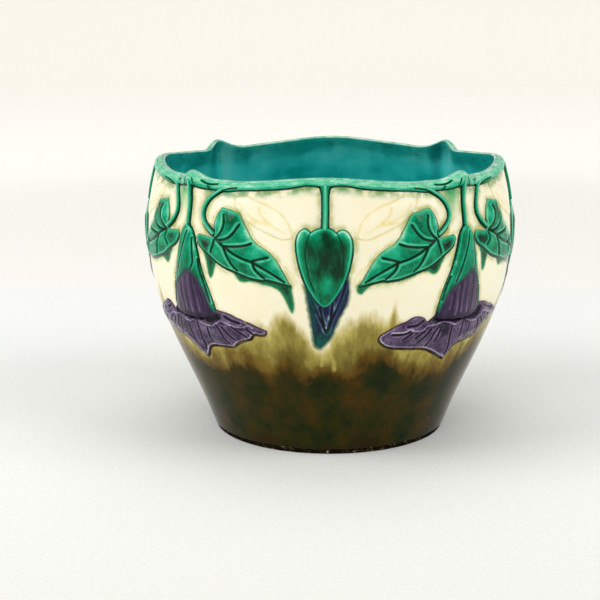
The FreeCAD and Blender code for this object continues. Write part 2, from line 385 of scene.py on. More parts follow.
class Paint:
    def __init__(self, name):
        self.material = bpy.data.materials.new(name)
        self.material.use_nodes = True
        self.nodes = self.material.node_tree.nodes
        self.links = self.material.node_tree.links
        self.shader = self.nodes["Principled BSDF"]
        self.spot = self.add("ShaderNodeTexCoord", {}, output="Object")

    def join(self, value, socket):
        if isinstance(value, Wire):
            self.links.new(value.socket, socket)
        else:
            socket.default_value = value

    def add(self, kind, settings, *inputs, output=0, **named):
        # inputs go to the sockets in order, None leaves one as it is
        node = self.nodes.new(kind)
        for key, value in settings.items():
            if key == "stops":
                ramp = node.color_ramp
                while len(ramp.elements) < len(value):
                    ramp.elements.new(0.5)
                for element, (place, colour) in zip(ramp.elements, value):
                    element.position = place
                    element.color = colour
            else:
                setattr(node, key, value)
        for index, value in enumerate(inputs):
            if value is not None:
                self.join(value, node.inputs[index])
        for key, value in named.items():
            self.join(value, node.inputs[key])
        return Wire(self, node.outputs[output])

    def value(self, name):
        return self.add("ShaderNodeAttribute", {"attribute_name": name}, output="Fac")

    def noise(self, size, detail=3.0, rough=0.5, stretch=(1, 1, 1), shift=0.0):
        # size in millimetres
        scale = tuple(share / size * 1000 for share in stretch)
        where = self.add("ShaderNodeMapping", {}, self.spot, (shift, shift * 0.7, shift * 0.3), None, scale)
        return self.add("ShaderNodeTexNoise", {}, where, None, 1.0, detail, rough, output="Fac")

    def mix(self, share, first, second):
        unused = [None] * 5
        return self.add("ShaderNodeMix", {"data_type": "RGBA"}, share, *unused, first, second, output=2)

    def colours(self, share, rampStops):
        return self.add("ShaderNodeValToRGB", {"stops": rampStops}, share, output="Color")

    def bump(self, height, depth, strength):
        # depth in millimetres
        return self.add(
            "ShaderNodeBump", {}, Strength=strength, Distance=depth / 1000, Height=height, output="Normal"
        )

    def glaze(self, colour, rough, bump, shine=0.08, coat=0.12):
        values = {
            "Base Color": colour, "Roughness": rough, "Normal": bump, "Coat Weight": coat,
            "Specular IOR Level": shine, "Coat Roughness": 0.05,
        }
        for key, value in values.items():
            self.join(value, self.shader.inputs[key])
        return self.material


greenStops = stops(
    (0.0, 178, 226, 198), (0.16, 116, 204, 164), (0.32, 44, 178, 136), (0.5, 0, 148, 106),
    (0.68, 0, 108, 70), (0.84, 0, 62, 34), (1.0, 1, 28, 14),
)
purpleStops = stops(
    (0.0, 204, 198, 208), (0.18, 160, 146, 174), (0.36, 114, 98, 128), (0.55, 86, 70, 98),
    (0.75, 54, 40, 68), (1.0, 18, 12, 22),
)
petalStops = stops(
    (0.0, 206, 204, 214), (0.2, 124, 146, 158), (0.38, 62, 96, 112), (0.55, 40, 48, 84),
    (0.74, 20, 24, 54), (1.0, 6, 12, 20),
)


def sprigGlaze(name, depthStops, base, grain=0.3, stretch=(1, 1, 1), tint=None):
    # glaze that runs thin over edges and pools in the cut lines; pool 0 is thin, 1 deep
    paint = Paint(name)
    edge, cut, lit, upper = (paint.value(key) for key in ("edge", "cut", "lit", "upper"))
    cloud = paint.noise(8.0, 3.0, 0.55, stretch) - 0.5
    fine = paint.noise(1.8, 2.0, 0.5, stretch, 3.0) - 0.5
    pool = cloud * grain * 1.8 + fine * grain * 0.7 + base
    # lit lightens the glaze: painted highlight together with thin glaze over ridges and edges
    pool = pool - lit * (cloud * 1.6 + 0.95).held() * 0.55
    cutShare = 1.0 - (cut + fine * 0.8 + cloud * 0.8).ramp(0.3, 1.3)
    pool = pool + cutShare * (1.0 - pool) * 0.95
    rim = (1.0 - (edge + fine * 0.5).ramp(0.0, 0.6)) * (1.0 - upper * 0.75)
    pool = (pool + rim * (0.95 - pool) * 0.9).held()
    colour = paint.colours(pool, depthStops)
    worn = (1.0 - edge.ramp(0.2, 1.0)) * (upper * (cloud * 3.0 + 0.5)).held()
    colour = paint.mix(worn * 0.6, colour, tone(196, 190, 96))
    if tint:
        colour = tint(paint, colour, edge)
    bump = paint.bump(paint.noise(2.6, 2.0, shift=8.0), 0.10, 0.35)
    return paint.glaze(colour, fine * 0.05 + 0.1, bump)


def quartersTree():
    # repeats a piece round the pot's axis, with or without its mirror image beside it
    tree = bpy.data.node_groups.new("quarters", "GeometryNodeTree")
    kinds = dict(Geometry="Geometry", Copies="Int", Turn="Float", Mirrored="Bool", Glaze="Material")
    for name, kind in kinds.items():
        tree.interface.new_socket(name, in_out="INPUT", socket_type="NodeSocket" + kind)
    tree.interface.new_socket("Geometry", in_out="OUTPUT", socket_type="NodeSocketGeometry")

    def add(kind, settings, values):
        node = tree.nodes.new(kind)
        for key, value in settings.items():
            setattr(node, key, value)
        for key, value in values.items():
            for one in value if isinstance(value, list) else [value]:
                if isinstance(one, bpy.types.NodeSocket):
                    tree.links.new(one, node.inputs[key])
                else:
                    node.inputs[key].default_value = one
        return node.outputs[0] if node.outputs else node

    given = tree.nodes.new("NodeGroupInput").outputs
    image = add("GeometryNodeTransform", {}, {"Geometry": given["Geometry"], "Scale": (-1, 1, 1)})
    pair = add("GeometryNodeJoinGeometry", {}, {"Geometry": [image, given["Geometry"]]})
    chosen = add("GeometryNodeSwitch", {"input_type": "GEOMETRY"}, {
        "Switch": given["Mirrored"], "False": given["Geometry"], "True": pair,
    })
    oneTurn = add("ShaderNodeCombineXYZ", {}, {"Z": given["Turn"]})
    turns = add("ShaderNodeVectorMath", {"operation": "SCALE"}, {
        "Vector": oneTurn, "Scale": add("GeometryNodeInputIndex", {}, {}),
    })
    spread = add("GeometryNodeInstanceOnPoints", {}, {
        "Points": add("GeometryNodePoints", {}, {"Count": given["Copies"]}),
        "Instance": chosen, "Rotation": turns,
    })
    real = add("GeometryNodeRealizeInstances", {}, {"Geometry": spread})
    dressed = add("GeometryNodeSetMaterial", {}, {"Geometry": real, "Material": given["Glaze"]})
    add("NodeGroupOutput", {}, {"Geometry": dressed})
    return tree


quarters = quartersTree()
inputOf = {item.name: item.identifier for item in quarters.interface.items_tree if item.in_out == "INPUT"}
quarterNames = ("front", "right", "back", "left")
cornerNames = ("front_right", "back_right", "back_left", "front_left")


def nodesOf(start, ends):
    return [start + end for end in ends]


def roundThePot(piece, glaze, replaced, mirrored=False):
    modifier = piece.modifiers.new("quarters", "NODES")
    modifier.node_group = quarters
    for name, value in dict(Copies=4, Turn=math.pi / 2, Mirrored=mirrored, Glaze=glaze).items():
        modifier[inputOf[name]] = value
    ready = piece.evaluated_get(bpy.context.evaluated_depsgraph_get())
    mesh = bpy.data.meshes.new_from_object(ready)
    piece.modifiers.remove(modifier)
    weld(mesh)
    piece.data = mesh
    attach(piece, "root")
    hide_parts(*replaced)
    print(piece.name, len(mesh.polygons), "faces")


# leaf: its outline from the notch up over the lobe, and its cut veins
leaf = dict(
    outline=[
        [(10.7, 178.3), (11, 182.5), (10.6, 187), (10.9, 191.5), (11.7, 196.5)],
        [(13, 201), (15.3, 200.2), (17.5, 199)],
        [(19, 198.3), (19.9, 195.2), (21, 190.6), (22.1, 186.2), (23.3, 181.3), (24.8, 177.2)],
        [(25.4, 176), (27.2, 173.8), (29.3, 170), (31.2, 164.2), (32.7, 157.6), (34, 151.5)],
        [(35.2, 146.3), (32.8, 147.6), (30.2, 149), (28.3, 150)],
        [(26.8, 149.3), (23.5, 150.2), (20.9, 152), (18, 154.2), (15.2, 156.2), (12.9, 158.5),
         (10.6, 162), (8.4, 165.6), (6.4, 168.4), (5, 171.6), (4.3, 175.6), (4.4, 178.6)],
        [(4.9, 179.8), (6.6, 179.2), (8.6, 178.4)],
    ],
    midrib=[
        (11.3, 178), (13.1, 175.6), (14.6, 173), (16.4, 170.5), (18.4, 167.7), (21.1, 165),
        (23.6, 163.2), (25.5, 161.2), (27.5, 158.6), (29.3, 156), (31.2, 153), (33.4, 149),
    ],
    veins=[
        [(14.2, 196), (14.7, 191.5), (14.4, 186.3), (13.7, 183), (12.6, 180), (11.6, 178.3)],
        [(19.6, 189.6), (18.6, 185.1), (17.2, 181.1), (15.7, 178.6), (13.9, 177.4), (12.4, 176.9)],
        [(23.6, 176.4), (21.4, 174.5), (19.1, 173.5), (17, 173), (15, 172.9)],
        [(23.9, 163.5), (25.8, 165), (27.3, 166.1), (28.7, 167)],
        [(14.7, 172.7), (15.6, 168.1), (16.6, 163.1), (17.6, 158.8), (18.9, 155.2)],
        [(24.3, 162.7), (24.8, 158.3), (26, 154.4), (27.5, 150.9)],
        [(11, 176.8), (10.9, 172), (10, 167)],
    ],
    patches=[
        (22, 183, 6, 0.5), (25.3, 170.5, 6, 0.4), (12.4, 190, 5, 0.5), (30.4, 161, 4, 0.4),
        (12.6, 168.5, 4, 0.3), (17.3, 193, 5, -0.25), (7.6, 172.5, 5.5, -0.45), (22.5, 157, 5, 0.1),
    ],
    step=1.0, dome=2.0, reach=9.0, groove=(0.9, 0.85), ridge=0.5, ridgeAway=2.0,
)
leafOutline = outlineOf(leaf["outline"], side=-1)


def makeLeaf():
    veins = smoothAll([leaf["midrib"]] + leaf["veins"], side=-1)

    def rise(points, gap, near):
        lift = swell(leaf, gap) - groove(leaf, near) * smoothRise(gap, 0.3, 1.6)
        return lift + leaf["ridge"] * hump(near - leaf["ridgeAway"], 0.9) * smoothRise(gap, 0.8, 2.5)

    def paint(points, gap, near):
        side = np.zeros(len(points))
        for vein in veins:
            signed = sideOf(points, vein)
            side = np.where(np.abs(signed) <= near + 0.01, signed, side)
        # painted highlight with thin glaze: lit runs along one side of each vein ridge, wide and soft along
        # the upper edges and narrow along the lower ones
        beside = hump(np.abs(side) - 1.9, 0.85) * np.where(side > 0, 0.75, 0.1)
        upper = faceUp(points, leafOutline, gap)
        edging = upper * 0.6 * hump(gap - 1.0, 2.2) + (1 - upper) * 0.85 * hump(gap - 1.1, 0.6)
        lit = np.maximum(beside, edging) + patchSum(points, leaf, side=-1)
        return dict(cut=near, lit=lit, upper=upper)
    return sprig("leaf_front", leafOutline, veins, rise, paint, spacing=0.72)


# stems and stalks, each widening into the branch over its flare
stripTop = 4.2  # drop where they end, under the lip
stalk = dict(
    route=[
        (14.6, 218.3), (12.6, 215.5), (9.9, 211.5), (7.6, 206.5), (6.2, 200), (6, 194.5), (6.9, 189.5),
        (8.6, 185), (10.9, 180.6),
    ],
    axis=flowerAxis, side=-1, halfWidth=1.75, topWidth=3.2, flare=5.5, proud=2.4,
)
flowerStem = dict(
    route=[(0, 221.5), (0, 214), (0, 205), (0, 195), (0, 183)],
    axis=flowerAxis, side=1, halfWidth=1.7, topWidth=3.6, flare=5.5, proud=2.7,
)
budStem = dict(
    route=[(0, 222.5), (0.05, 216), (0.1, 208), (0.1, 198), (0, 188)],
    axis=0.0, side=1, halfWidth=2.35, topWidth=4.6, flare=5.5, proud=2.7,
)


def strip(settings):
    # middle line and outline of a stem
    line = smooth(flatPlace(settings["route"], settings["axis"], settings["side"]), 1.0)
    along = np.gradient(line, axis=0)
    across = np.stack([-along[:, 1], along[:, 0]], 1) / np.linalg.norm(along, axis=1)[:, None]
    reach = np.linspace(0, np.linalg.norm(np.diff(line, axis=0), axis=1).sum(), len(line))
    widening = (settings["topWidth"] - settings["halfWidth"]) * hump(reach, settings["flare"])
    width = settings["halfWidth"] + widening
    outline = np.vstack([line + across * width[:, None], (line - across * width[:, None])[::-1]])
    return line, np.maximum(outline, [-1e3, stripTop])


def makeStrip(name, settings):
    line, outline = strip(settings)

    def rise(points, gap, near):
        share = np.clip(gap / np.maximum(gap + near, 0.5), 0, 1)
        return settings["proud"] * np.sqrt(np.maximum(1 - (1 - share) ** 2, 0))

    def paint(points, gap, near):
        # painted highlight with thin glaze: lit is a light stripe along the stem's crest
        return dict(cut=np.full(len(points), 9.0), lit=0.9 * hump(near, 1.2))
    return sprig(name, outline, [line], rise, paint, spacing=0.7)


bud = dict(
    outline=[
        [(-4, 186.6), (-5.3, 189.2), (-6.6, 188.6), (-7.7, 185.4), (-8.25, 180), (-8.15, 172.5),
         (-7.6, 164.5), (-6.7, 156), (-5.6, 148.3), (-4.2, 141), (-2.5, 134.3), (-1.1, 130.9)],
        [(-0.1, 129.6), (1, 130.9), (2.4, 134.6), (4.2, 141.6), (5.6, 148.9), (6.7, 157), (7.5, 165.5),
         (7.9, 173.5), (7.75, 180.8), (6.9, 185.6), (5.6, 188.4), (4.2, 188.2)],
        [(3.2, 186.3), (2.3, 188.6), (0.9, 190), (-1, 190), (-2.6, 188.8)],
    ],
    folds=[
        [(-4, 187), (-4.9, 181), (-5.5, 173), (-5.2, 163), (-4.3, 152), (-3, 142.5)],
        [(3.3, 186.6), (4.4, 180.5), (5.2, 173), (5.2, 163), (4.6, 153)],
    ],
    patches=[
        (0.3, 144.5, 4.6, 0.5), (1.1, 150.5, 3.6, 0.5), (-3.3, 164, 5, 0.3), (0.6, 168, 9, -0.15),
        (0.2, 188.8, 5, -0.4), (-6.6, 183, 4.5, 0.45), (6.2, 184.5, 4.5, 0.5), (3.4, 158, 5, -0.15),
        (-2.2, 156, 4, -0.2),
    ],
    step=1.1, dome=2.6, reach=15.0, fullness=0.8, groove=(0.7, 1.1), roll=0.5,
)
budOutline = outlineOf(bud["outline"], 0.0)


def makeBud():
    def rise(points, gap, near):
        dome = bud["dome"] * smoothRise(gap, 0, bud["reach"]) ** bud["fullness"]
        lift = bud["step"] * quarterRound(gap) + dome
        return lift - groove(bud, near) * smoothRise(gap, 0.3, 1.8) + bud["roll"] * hump(gap - 2.0, 1.2)

    def paint(points, gap, near):
        upper = faceUp(points, budOutline, gap)
        # painted highlight with thin glaze: lit is stronger along the upper edges and near the bud's top, and
        # weaker over its middle
        lit = (0.6 + 0.3 * upper) * hump(gap - 1.3, 0.7) + patchSum(points, bud, 0.0)
        lit += 0.35 * hump(gap - 2.4, 1.6) * smoothRise(-points[:, 1], -75, -50)
        return dict(cut=near + 0.45, lit=lit - 0.25 * smoothRise(gap, 2.5, 9))
    return sprig("bud", budOutline, smoothAll(bud["folds"], 0.0), rise, paint)


petals = dict(
    outline=[
        [(6.4, 152.5), (6.8, 146), (6.75, 139), (6.2, 133), (5.2, 126.5)],
        [(3.9, 121), (3.1, 115.5), (1.9, 107), (0.4, 101.6)],
        [(-1.6, 96.6), (-3.1, 99.6), (-3.6, 107.8), (-4.1, 119), (-4.7, 130.5), (-5.3, 141), (-5.6, 147)],
        [(-4.2, 146), (0, 134), (4.6, 147)],
    ],
    folds=[
        [(-4.2, 140), (-3.4, 133.5), (-2.1, 125), (-0.8, 117), (0.35, 109.8)],
        [(2.2, 133.5), (1.9, 127), (1.5, 119.5), (0.5, 110.2)],
        [(6, 149), (5, 140), (3.7, 130.6), (2.1, 121), (0.9, 111)],
        [(-1.4, 130.5), (-1, 124), (-0.2, 116)],
    ],
    patches=[
        (0.35, 112.5, 2.4, 1.25), (-0.5, 118, 2.2, 0.7), (-1.5, 124, 2.6, 0.6), (-2.9, 131, 2.4, 0.5),
        (1.3, 122, 2.2, 0.7), (3, 130, 2.4, 0.35), (4.6, 137, 4, 0.15), (-2, 102, 7, -0.1),
    ],
    step=0.7, dome=1.5, reach=8.0, shoulder=1.3, groove=(0.5, 0.9),
)
petalsOutline = outlineOf(petals["outline"], 0.0)


def makePetals():
    def rise(points, gap, near):
        # they flatten towards the tip
        flatter = 0.35 + 0.65 * smoothRise(points[:, 1], 128, 112)
        return (swell(petals, gap) - groove(petals, near)) * flatter

    def paint(points, gap, near):
        # painted highlight with thin glaze beside the folds and in patches
        lit = 0.5 * hump(near - 1.5, 0.6) + patchSum(points, petals, 0.0)
        low, across = smoothRise(points[:, 1], 111, 121), points[:, 0] / mmPerDegree
        return dict(edge=gap + 1, cut=near + 0.1, lit=lit, across=across, low=low)
    return sprig("bud_petals", petalsOutline, smoothAll(petals["folds"], 0.0), rise, paint)


tube = dict(
    outline=[
        [(0.4, 156), (4.6, 151), (6.4, 144), (7.6, 136), (8.6, 128), (9.3, 121)],
        [(9.9, 116), (5, 113.4), (0, 113), (-5, 113.4)],
        [(-9.9, 115), (-9.2, 122), (-8.4, 130), (-7.4, 138), (-6.2, 145), (-4.4, 151)],
    ],
    streaks=[
        [(1.1, 147), (1, 138), (0.9, 129), (1.3, 118)],
        [(-3.1, 140), (-3.5, 132), (-3, 124), (-3.3, 117)],
        [(-1.4, 143), (-1.5, 131), (-1.1, 119)],
        [(3.4, 139), (3.9, 129), (4.2, 119)],
        [(-5.3, 132), (-5.7, 122)],
    ],
    folds=[
        [(2.2, 146), (2.6, 134), (2.8, 120)],
        [(-2.2, 141), (-2.3, 128), (-2.1, 117)],
        [(5.3, 134), (5.9, 121)],
        [(-4.5, 136), (-4.7, 120)],
    ],
    # half its width in degrees, and how round it stands, by drop
    half=[(38, 1.2), (44, 2.6), (60, 4.6), (75, 5.9), (88, 7.4), (103, 9.3), (116, 10.2)],
    crown=[(38, 0.35), (48, 0.6), (62, 0.8), (78, 0.95), (100, 1.0), (116, 1.0)],
    step=1.1, dome=4.0, groove=(0.3, 0.8),
)
tubeOutline = outlineOf(tube["outline"])


def tubeHeight(points):
    # the round back of a trumpet flower
    offset = np.abs(points[:, 0] / mmPerDegree - flowerAxis) / curveThrough(tube["half"], points[:, 1])
    return tube["dome"] * curveThrough(tube["crown"], points[:, 1]) * (1 - np.clip(offset, 0, 1) ** 2)


def makeTube():
    streaks = smoothAll(tube["streaks"])

    def rise(points, gap, near):
        return tube["step"] * quarterRound(gap) + tubeHeight(points) - groove(tube, near)

    def paint(points, gap, near):
        low, mouth = smoothRise(points[:, 1], 92, 108), smoothRise(points[:, 1], 107, 111)
        # painted highlight with thin glaze: lit runs in streaks down the tube, stronger low down and less at
        # the mouth
        lit = (0.35 + 0.4 * low) * hump(leastDistance(points, streaks), 0.75)
        return dict(edge=gap + 1, cut=near + 0.5 - mouth * 0.8, lit=lit - 0.35 * mouth)
    return sprig("flower_tube", tubeOutline, smoothAll(tube["folds"]), rise, paint, extra=streaks)


calyx = dict(
    outline=[
        [(0, 186.5), (1.2, 184.5), (2.5, 180.8), (3.5, 173), (4.5, 164.5), (5.3, 156), (6.2, 148.5),
         (7.3, 141), (8.3, 133.5), (9.1, 126), (9.5, 120)],
        [(9.3, 117), (8, 121), (7.1, 127.5), (6.3, 134), (5, 140.6), (3.4, 146.2)],
        [(1.5, 150.6), (-0.5, 146.6), (-2.6, 143), (-4.6, 139.2), (-6.2, 134.6), (-7.2, 128.5),
         (-8.2, 122)],
        [(-9.2, 118), (-9.3, 123), (-8.8, 130), (-8.2, 137), (-7.2, 144), (-6, 151), (-5, 158),
         (-4.1, 165.5), (-3.3, 173), (-2.5, 180), (-1.2, 184.5)],
    ],
    folds=[
        [(0.7, 181), (-0.3, 172), (-1.9, 160), (-3.3, 150.5), (-4.4, 143.5)],
        [(2.6, 176), (2.9, 166), (3.2, 157.5), (2.3, 151.5)],
        [(4.7, 160), (5.2, 152), (6.3, 144), (7.3, 136), (8.2, 127)],
        [(-6, 148), (-7.4, 139), (-8.3, 130)],
    ],
    patches=[
        (0.5, 181.5, 4, 0.35), (1.7, 170, 3.5, 0.2), (4.3, 168, 2.5, 0.25), (1.2, 158, 3, -0.1),
        (-4.6, 158, 2.6, 0.3), (-1.9, 148, 3, 0.15), (6.9, 138, 3, 0.2), (7.9, 128, 3, 0.3),
        (-3.4, 152, 3, -0.2),
    ],
    step=1.1, over=0.35, groove=(0.45, 0.8),
)
calyxOutline = outlineOf(calyx["outline"])


def makeCalyx():
    hem = smooth(flatPlace(calyx["outline"][1] + calyx["outline"][2]))

    def rise(points, gap, near):
        lift = calyx["step"] * quarterRound(gap, 0.9) + calyx["over"] * quarterRound(gap, 1.0)
        return lift + tubeHeight(points) - groove(calyx, near)

    def paint(points, gap, near):
        fade = hump(distanceTo(points, hem), 2.6)
        # painted highlight with thin glaze along the edges, fading at the hem, and beside the folds
        lit = 0.6 * hump(gap - 1.1, 0.6) * (1 - fade) + 0.45 * hump(near - 1.4, 0.6) + patchSum(points, calyx)
        return dict(edge=gap + 2 * fade, cut=near + 0.2, lit=lit, fade=fade)
    return sprig("flower_calyx", calyxOutline, smoothAll(calyx["folds"]), rise, paint)


# skirt: the flower's flared mouth, its lip and the tube's mouth over it
skirt = dict(
    outline=[
        [(-10.3, 117), (-11.3, 115)],
        [(-12.4, 113.4), (-13.3, 116.2), (-14.7, 118.3), (-16.4, 119), (-18, 118.3), (-19.6, 116),
         (-22, 114), (-24.3, 111.3), (-26.2, 108.6), (-27.8, 105.8), (-28.2, 102.6), (-27.2, 99.4),
         (-25.2, 96.2), (-22.9, 94.8), (-20.1, 93.9), (-17.2, 92.9), (-14.6, 92.3), (-11.8, 91.2),
         (-9.1, 89), (-6.6, 86), (-4, 82.6)],
        [(-0.8, 78.6), (0.6, 82), (1.8, 86.4), (3.4, 89.4), (5.4, 90.7), (8.5, 91.4), (11.4, 91.8)],
        [(13.9, 92.2), (15.2, 95.3), (17.3, 98), (19.3, 99.9)],
        [(20.9, 101.2), (21.7, 103.9), (22.6, 105.7), (24.2, 105.3)],
        [(25.7, 105.6), (26.4, 107.2)],
        [(26.6, 109), (23.6, 111.8), (20.9, 114.3), (18.6, 116.1), (16.5, 117.7), (14.5, 119.6),
         (12.6, 120.5), (10.9, 121)],
        [(9.7, 121.6), (4, 119), (-3, 118.4)],
    ],
    lip=[
        (-24.6, 107.6), (-22.4, 107.6), (-20.3, 107.9), (-18.9, 109.6), (-17.4, 108.3), (-15.9, 107.5),
        (-14.2, 108.2), (-12.9, 110.2), (-11.2, 110.6), (-9.5, 111.1), (-7.7, 112.2), (-5.8, 111.9),
        (-4.3, 110.8), (-2.2, 108.8), (0, 110.4), (1.7, 113), (2.7, 111), (4, 109.6), (6.1, 108.4),
        (8.2, 108.8), (10.2, 111.4), (11.6, 113.8), (13, 113.1), (15.1, 111.4), (17.2, 110.4),
        (19.4, 110.7), (20.9, 112.4), (22.4, 110.6),
    ],
    folds=[
        [(-8.2, 109.7), (-9.7, 104.4), (-10.6, 98.1), (-11.2, 93.3)],
        [(-7.3, 108.5), (-8.1, 101.4), (-8.8, 96.6)],
        [(-11.1, 107.5), (-13.2, 101.6), (-15, 97.1)],
        [(-13.3, 106.6), (-16.2, 101.7)],
        [(-3, 107.6), (-2.8, 99.2), (-2.2, 90.6), (-1.6, 83)],
        [(1.6, 108.8), (1.8, 102.1), (1.6, 93.9), (0.6, 85.3)],
        [(9.6, 109.6), (10.9, 102.6), (11.8, 97), (12.7, 94)],
        [(11.5, 108.6), (13.3, 103.5), (14.8, 99)],
        [(20.4, 109.2), (21.6, 106.2), (22.1, 104.8)],
        [(5.5, 106.1), (5.6, 99.6), (5.4, 94)],
        [(-17.8, 106), (-20.6, 101)],
        [(15.4, 110), (18.2, 105), (19.6, 102)],
        [(-24.2, 106.2), (-21, 106), (-18.6, 107.4)],
        [(12.8, 117.4), (15.4, 114.8), (18, 113.2)],
        [(-14, 115.4), (-16.6, 112.2), (-19.4, 111.6)],
    ],
    mouth=[(-9.6, 114.6), (-5, 114.4), (-1, 113.2), (3.6, 113.2), (7.4, 113), (10.4, 116.2)],
    patches=[
        (7.6, 103.6, 5, 0.3), (3.6, 104, 4, 0.22), (-5.2, 101, 7, -0.1), (-6, 105, 4.5, -0.4),
        (-18.5, 98, 7, 0.1), (15, 116.6, 4, 0.25), (-16.6, 116.2, 3.6, 0.2), (-26, 101, 4, 0.45),
        (17, 103, 4, -0.15), (0.4, 94, 4, -0.1), (3, 105, 3, 0.1),
    ],
    step=1.1, dome=3.4, reach=9.0, halfSpan=28.0, groove=(0.7, 0.9), lipHeight=0.9, mouthDepth=1.6, roll=0.4,
)
skirtOutline = outlineOf(skirt["outline"])


def makeSkirt():
    lip, mouth = smooth(flatPlace(skirt["lip"])), smooth(flatPlace(skirt["mouth"]))

    def rise(points, gap, near):
        offset = np.abs(points[:, 0] / mmPerDegree - flowerAxis) / skirt["halfSpan"]
        clear = smoothRise(gap, 0, 2)
        lift = skirt["step"] * quarterRound(gap)
        lift += skirt["dome"] * smoothRise(gap, 0, skirt["reach"]) * (1 - 0.55 * offset)
        lift += skirt["lipHeight"] * hump(distanceTo(points, lip), 1.3) * clear
        lift -= groove(skirt, near) * smoothRise(gap, 0.3, 2)
        lift -= skirt["mouthDepth"] * hump(distanceTo(points, mouth), 2.6) * clear
        return lift + skirt["roll"] * hump(gap - 1.3, 0.8)

    def paint(points, gap, near):
        below, nearMouth = sideOf(points, lip), distanceTo(points, mouth)
        # painted highlight with thin glaze on the lip's ridge, beside the folds and along the edges, most at
        # the lower edge; painted shade in the mouth and just under the lip
        lit = 0.85 * hump(np.abs(below), 0.55) + 0.4 * hump(near - 1.5, 0.7)
        lit += 0.9 * hump(gap - 0.9, 0.45) * smoothRise(points[:, 1], 112, 120)
        lit += 0.25 * hump(gap - 1.0, 0.6) + patchSum(points, skirt) - 0.75 * hump(nearMouth, 2.4)
        lit -= hump(np.abs(below) - 1.7, 0.8) * np.where(below > 0, 0.0, 0.35)
        return dict(cut=np.minimum(near - 0.1, 0.45 * nearMouth), lit=lit)
    return sprig("flower_skirt", skirtOutline, smoothAll(skirt["folds"]), rise, paint, extra=[lip])


# pale leaf: low cream leaf behind the dark one; low and far are further pale lines on the wall
paleLeaf = dict(
    outline=[
        [(28.4, 209), (24.4, 211), (20.6, 207.6), (16.2, 203.8), (12.6, 198.4), (10.4, 191.6)],
        [(8.9, 181.6), (12.2, 180.2), (15.7, 183.3), (20, 187.8), (24, 193.4), (27.2, 201)],
    ],
    veins=[
        [(26, 204), (21.8, 195.4), (16.4, 191), (11, 184.6)],
        [(19.6, 203), (18.6, 196.6), (15.4, 191.4)],
        [(23.4, 192), (19.6, 191.6), (17, 191)],
    ],
    low=[(25, 172.6), (21, 177.4), (16.9, 174), (13.6, 165), (9.8, 156.4), (8, 147)],
    far=[(23.8, 175), (25, 186), (22.6, 198), (24.4, 208.6)],
    step=0.5, dome=0.7, reach=7.0, shoulder=1.5, groove=(0.3, 1.0),
)
paleOutline = outlineOf(paleLeaf["outline"], 0.0)


def makePaleLeaf():
    def rise(points, gap, near):
        return swell(paleLeaf, gap) - groove(paleLeaf, near) * smoothRise(gap, 0.5, 2)

    def paint(points, gap, near):
        return wallFields(points) | dict(pale=np.minimum(gap, near), inside=0 * gap)
    veins = smoothAll(paleLeaf["veins"], 0.0)
    return sprig("pale_leaves", paleOutline, veins, rise, paint, spacing=1.5, root=1.0)


print("outlines drawn")

# branch under the lip; (amount, degrees, span) moves its lower edge beside a bud's stem, at a
# stalk's fork and under a spout's hood
branch = dict(
    proud=2.5, top=0.9, sunk=1.2, columns=280,
    edge=6.7, beside=(-1.7, 5.5, 4.0), fork=(1.6, 12.5, 4.0), hood=(2.4, 0.0, 6.5),
    # dark creases on both sides of a spout, (degrees from the flower, drop)
    creases=[
        [(17.5, 4.4), (14.5, 5.4), (11.5, 7.6)],
        [(2.6, 9.4), (1.9, 6.4), (1.5, 3.8)],
        [(9.5, 3), (6.8, 3.4), (4.4, 2.4)],
        [(8.6, 9.2), (7.2, 6.6), (6.6, 5)],
    ],
)


def branchEdge(azimuth):
    # drop of the branch's lower edge
    def shifted(offset, amount, place, span):
        return amount * hump(np.abs(offset) - place, span)
    flower = shifted(fromFlower(azimuth), *branch["fork"]) + shifted(fromFlower(azimuth), *branch["hood"])
    return branch["edge"] + shifted(fromBud(azimuth), *branch["beside"]) + flower


def buildBranch():
    azimuth = np.linspace(-flowerAxis, flowerAxis, branch["columns"] + 1)
    front = np.linspace(0, 1, 15)
    across = np.append(front, [0.9, 0.5, 0.1])[:, None]
    edge = branchEdge(azimuth)
    drop = edge + (branch["top"] - edge) * across
    arch = np.sqrt(np.maximum(1 - (2 * across - 1) ** 2, 0)) * (1.05 - 0.15 * across)
    lift = branch["proud"] * arch - 0.1
    lift[len(front):] = -branch["sunk"]
    creaseDrop = drop - rimLift(azimuth, drop) + rimLift(azimuth, 5.0)
    flat = np.stack(np.broadcast_arrays(np.abs(fromFlower(azimuth)) * mmPerDegree, creaseDrop), -1)
    lines = [smooth(np.array(line) * [mmPerDegree, 1]) for line in branch["creases"]]
    crease = np.minimum(leastDistance(flat.reshape(-1, 2), lines), 6).reshape(drop.shape)
    places = potPoint(azimuth, wallRadius(drop) + lift, drop)
    return sheet("rim_branch_glazed", places, dict(across=across, crease=crease), closed=True)


def branchGlaze():
    paint = Paint("branchGlaze")
    across = paint.value("across")
    along = paint.noise(9.0, 3.0, 0.6, (1, 1, 3.0), 1.0) - 0.5
    fine = paint.noise(1.8, 3.0, 0.6, (0.6, 0.6, 3.0), 7.0) - 0.5
    pool = 0.36 - across.ramp(0.25, 0.6) * 0.2 + along * 0.7 + fine * 0.35
    lower = 1.0 - (across + fine * 0.08 + along * 0.1).ramp(0.03, 0.2)
    crease = 1.0 - (paint.value("crease") + fine * 0.8).ramp(0.25, 1.1)
    deep = lower.most(crease * 0.9)
    colour = paint.colours((pool + deep * (0.95 - pool)).held(), greenStops)
    return paint.glaze(colour, fine * 0.05 + 0.1, paint.bump(fine, 0.15, 0.4))


